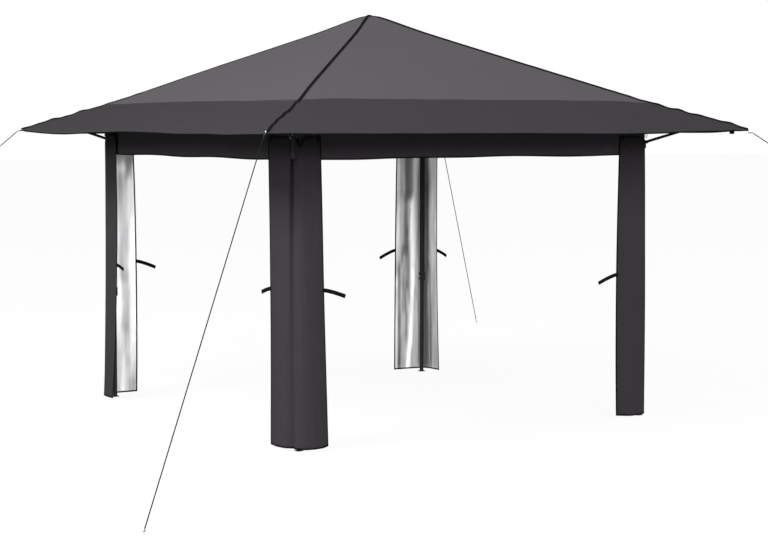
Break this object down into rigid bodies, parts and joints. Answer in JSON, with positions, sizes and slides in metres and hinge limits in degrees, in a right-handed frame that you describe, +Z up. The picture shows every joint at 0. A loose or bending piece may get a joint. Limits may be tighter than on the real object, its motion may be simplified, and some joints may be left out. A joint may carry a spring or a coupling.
{
  "type": "pop-up gazebo",
  "caption": "Pop-up garden gazebo with telescoping legs, a pitched cloth roof with eaves, corner curtains and guy ropes.",
  "frame": {"origin": "on the ground under the centre hub, the middle of the footprint that the guy rope pegs span", "axes": "+Z up, the front side faces -Y and the right side faces +X"},
  "size_m": [8.223, 8.763, 2.94],
  "materials": {
    "roof_cloth": "matte anthracite coated polyester",
    "valance_cloth": "matte anthracite coated polyester",
    "curtain_cloth": "matte anthracite polyester with a silver coating inside",
    "frame_steel": "black powder coat on square steel tube",
    "frame_plastic": "black moulded nylon",
    "rope": "grey braided cord",
    "peg_steel": "galvanised steel wire"
  },
  "bodies": {
    "canopy": {"centre_hub": "frame_plastic", "peak_cap": "roof_cloth", "roof_panel_front": "roof_cloth", "valance_front": "valance_cloth", "side_truss_front": "frame_steel", "roof_panel_right": "roof_cloth", "valance_right": "valance_cloth", "side_truss_right": "frame_steel", "roof_panel_back": "roof_cloth", "valance_back": "valance_cloth", "side_truss_back": "frame_steel", "roof_panel_left": "roof_cloth", "valance_left": "valance_cloth", "side_truss_left": "frame_steel", "rafter_front_left": "frame_steel", "eave_arm_front_left": "frame_steel", "eave_brace_front_left": "frame_steel", "top_bracket_front_left": "frame_plastic", "slider_front_left": "frame_plastic", "leg_outer_front_left": "frame_steel", "corner_curtain_front_left": "curtain_cloth", "ground_peg_front_left": "peg_steel", "guy_rope_front_left": "rope", "rafter_front_right": "frame_steel", "eave_arm_front_right": "frame_steel", "eave_brace_front_right": "frame_steel", "top_bracket_front_right": "frame_plastic", "slider_front_right": "frame_plastic", "leg_outer_front_right": "frame_steel", "corner_curtain_front_right": "curtain_cloth", "ground_peg_front_right": "peg_steel", "guy_rope_front_right": "rope", "rafter_back_right": "frame_steel", "eave_arm_back_right": "frame_steel", "eave_brace_back_right": "frame_steel", "top_bracket_back_right": "frame_plastic", "slider_back_right": "frame_plastic", "leg_outer_back_right": "frame_steel", "corner_curtain_back_right": "curtain_cloth", "ground_peg_back_right": "peg_steel", "guy_rope_back_right": "rope", "rafter_back_left": "frame_steel", "eave_arm_back_left": "frame_steel", "eave_brace_back_left": "frame_steel", "top_bracket_back_left": "frame_plastic", "slider_back_left": "frame_plastic", "leg_outer_back_left": "frame_steel", "corner_curtain_back_left": "curtain_cloth", "ground_peg_back_left": "peg_steel", "guy_rope_back_left": "rope"},
    "leg_front_left": {"leg_inner_front_left": "frame_steel"},
    "leg_front_right": {"leg_inner_front_right": "frame_steel"},
    "leg_back_right": {"leg_inner_back_right": "frame_steel"},
    "leg_back_left": {"leg_inner_back_left": "frame_steel"}
  },
  "joints": [
    {"name": "leg_slide_front_left", "type": "slide", "parent": "canopy", "child": "leg_front_left", "axis": [0, 0, 1], "range_m": [0, 0.7]},
    {"name": "leg_slide_front_right", "type": "slide", "parent": "canopy", "child": "leg_front_right", "axis": [0, 0, 1], "range_m": [0, 0.7]},
    {"name": "leg_slide_back_right", "type": "slide", "parent": "canopy", "child": "leg_back_right", "axis": [0, 0, 1], "range_m": [0, 0.7]},
    {"name": "leg_slide_back_left", "type": "slide", "parent": "canopy", "child": "leg_back_left", "axis": [0, 0, 1], "range_m": [0, 0.7]}
  ]
}
